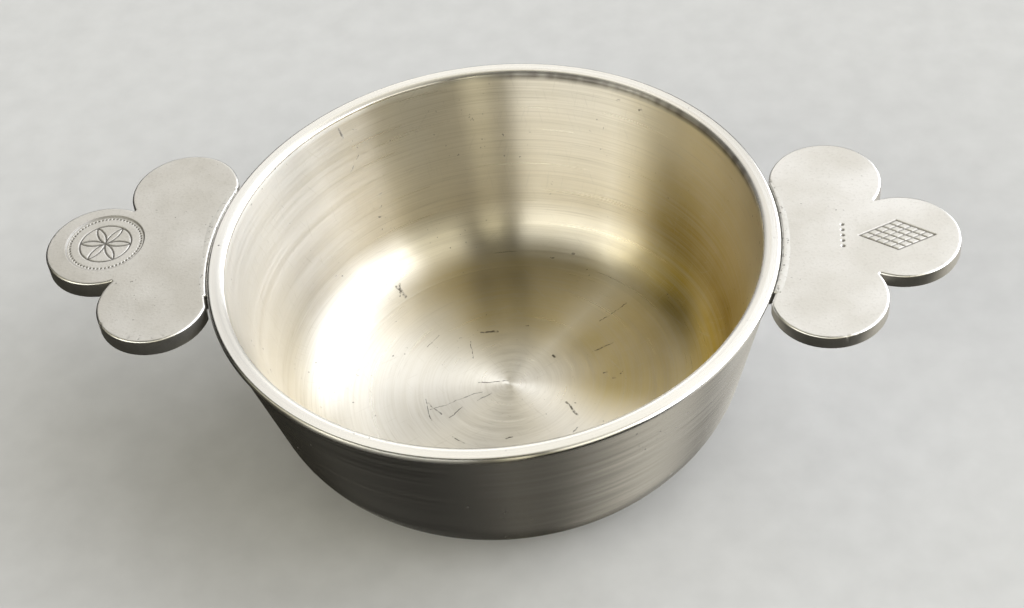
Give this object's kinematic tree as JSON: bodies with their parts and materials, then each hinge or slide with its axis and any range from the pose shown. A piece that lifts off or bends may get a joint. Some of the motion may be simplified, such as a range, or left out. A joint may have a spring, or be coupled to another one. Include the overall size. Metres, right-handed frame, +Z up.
{
  "type": "porringer",
  "caption": "Small pewter porringer: a turned bowl with a beaded lip, sloping wall and flat base, and trefoil ears soldered to its sides as handles.",
  "frame": {"origin": "centre of the flat base, on the surface the bowl stands on", "axes": "+X along the ears, towards the plain right ear; +Y towards the back; +Z up out of the bowl"},
  "size_m": [0.2036, 0.127, 0.049],
  "materials": {
    "turned_pewter": "lathe-turned satin pewter with fine concentric lines, light scratches and small pits",
    "cast_pewter": "satin cast pewter, rubbed bright along the edges",
    "solder": "dull hand-run solder with dark specks"
  },
  "bodies": {
    "root": {"bowl": "turned_pewter", "left_ear": "cast_pewter", "right_ear": "cast_pewter", "left_solder_seam": "solder", "right_solder_seam": "solder"}
  },
  "joints": []
}
